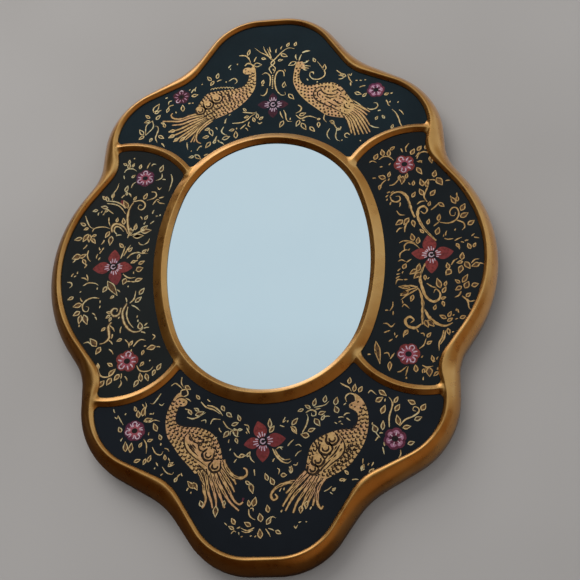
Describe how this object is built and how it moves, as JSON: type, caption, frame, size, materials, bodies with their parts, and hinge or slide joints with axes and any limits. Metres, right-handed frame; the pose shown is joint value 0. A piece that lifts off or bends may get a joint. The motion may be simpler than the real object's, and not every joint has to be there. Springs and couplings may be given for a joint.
{
  "type": "wall mirror",
  "caption": "Lobed gilt-wood wall mirror: an oval looking glass in a raised ring, with curved bars and painted black glass panels between ring and rim, and a swinging hanging ring behind.",
  "frame": {"origin": "centre of the back of the rim, on the plane that rests on the wall", "axes": "+Z out of the looking glass, +Y to the top of the hung mirror, +X to the right as one faces it"},
  "size_m": [0.2212, 0.3, 0.0124],
  "materials": {
    "gilt_wood": "burnished gold-bronze leaf over carved wood, toned brown",
    "painted_glass": "black ground painted behind polished glass",
    "mirror": "silvered glass",
    "card": "grey-brown card",
    "board": "bare fibreboard",
    "steel": "drawn wire",
    "brass": "brass-plated, dulled"
  },
  "bodies": {
    "frame": {"rim_top": "gilt_wood", "rim_bottom": "gilt_wood", "rim_left": "gilt_wood", "rim_right": "gilt_wood", "mirror_ring": "gilt_wood", "bar_top_left": "gilt_wood", "bar_top_right": "gilt_wood", "bar_bottom_left": "gilt_wood", "bar_bottom_right": "gilt_wood", "glass_top": "painted_glass", "glass_bottom": "painted_glass", "glass_left": "painted_glass", "glass_right": "painted_glass", "mirror_glass": "mirror", "liner_card": "card", "backboard": "board", "backboard_brads": "steel", "hanger_strap": "brass", "hanger_rivets": "brass"},
    "hanger_ring": {"hanger_ring": "brass"}
  },
  "joints": [
    {"name": "ring_swing", "type": "hinge", "parent": "frame", "child": "hanger_ring", "pos_m": [0, 0.1109, 0.00215], "axis": [-1, 0, 0], "range_deg": [-2, 172]}
  ]
}
